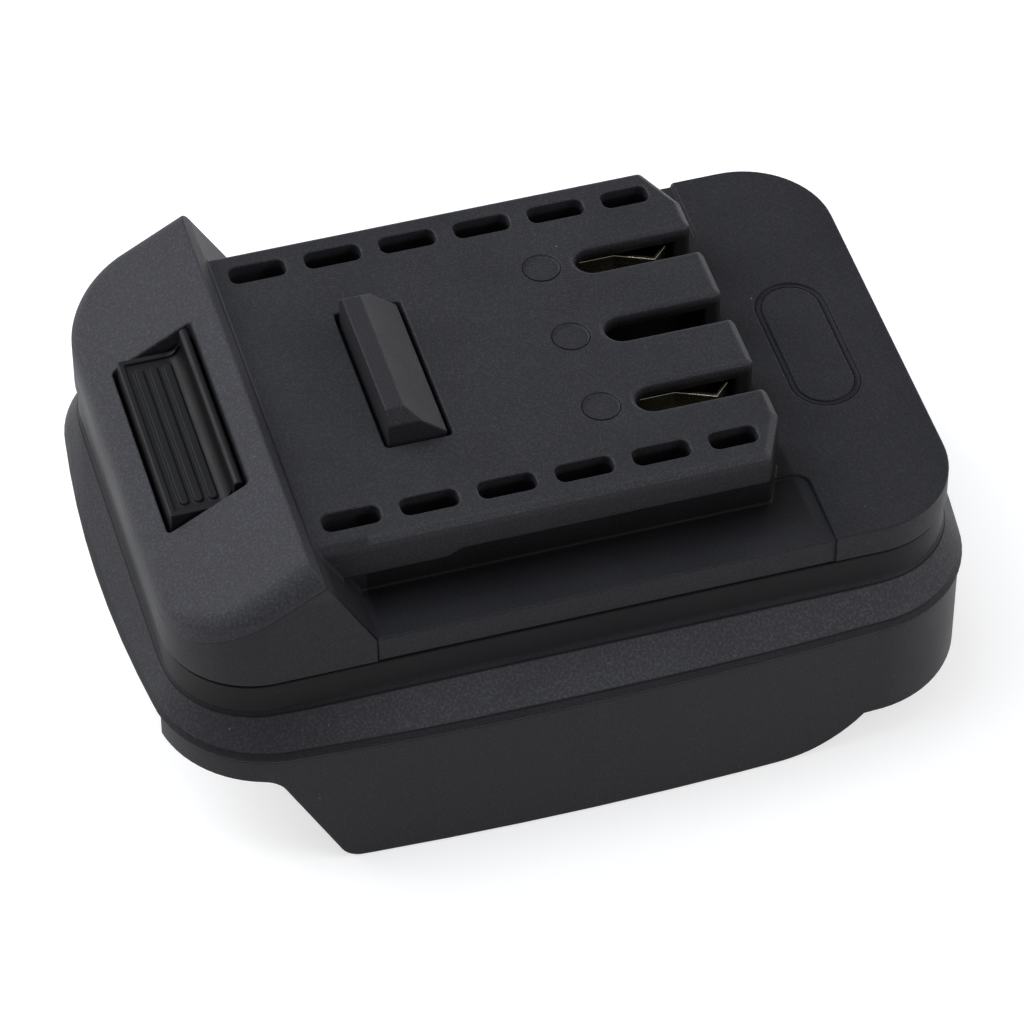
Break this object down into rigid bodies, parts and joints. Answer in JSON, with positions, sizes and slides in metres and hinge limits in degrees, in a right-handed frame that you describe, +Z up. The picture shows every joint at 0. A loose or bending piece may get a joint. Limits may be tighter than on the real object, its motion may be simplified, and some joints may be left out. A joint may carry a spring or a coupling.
{
  "type": "tool battery adapter",
  "caption": "Moulded adapter block that slides onto a cordless tool like a battery, with a rail plate, lock hook and release button, and takes another slide-in battery in a channel underneath.",
  "frame": {"origin": "under the middle of the body, at the level of the feet", "axes": "+X along the rails from the release button to the plain deck, +Y across the rails, +Z up from the battery channel to the rail plate"},
  "size_m": [0.1102, 0.0786, 0.0502],
  "materials": {
    "housing_plastic": "charcoal injection-moulded plastic, fine spark-eroded grain",
    "button_plastic": "black moulded plastic, satin gloss",
    "spring_steel": "bright spring wire",
    "contact_brass": "pale stamped copper alloy strip",
    "screw_steel": "zinc-plated steel",
    "red_insulation": "red wire insulation and sleeve",
    "black_insulation": "black wire insulation and sleeve",
    "solder": "tin solder"
  },
  "bodies": {
    "housing": {"top_housing": "housing_plastic", "base_housing": "housing_plastic", "latch_spring_left": "spring_steel", "latch_spring_right": "spring_steel", "contact_carrier": "housing_plastic", "contact_positive": "contact_brass", "contact_negative": "contact_brass", "carrier_screws": "screw_steel", "terminal_block": "housing_plastic", "blade_positive": "contact_brass", "blade_negative": "contact_brass", "block_screws": "screw_steel", "housing_screws": "screw_steel", "lead_positive": "red_insulation", "lead_negative": "black_insulation", "sleeve_positive": "red_insulation", "sleeve_negative": "black_insulation", "solder_joints": "solder"},
    "latch": {"release_button": "button_plastic", "lock_hook": "housing_plastic"}
  },
  "joints": [
    {"name": "latch_press", "type": "slide", "parent": "housing", "child": "latch", "axis": [0, 0, 1], "range_m": [-0.005, 0], "stiffness_N_per_m": 800, "springref_m": 0.004, "deforming": ["latch_spring_left", "latch_spring_right"]}
  ]
}
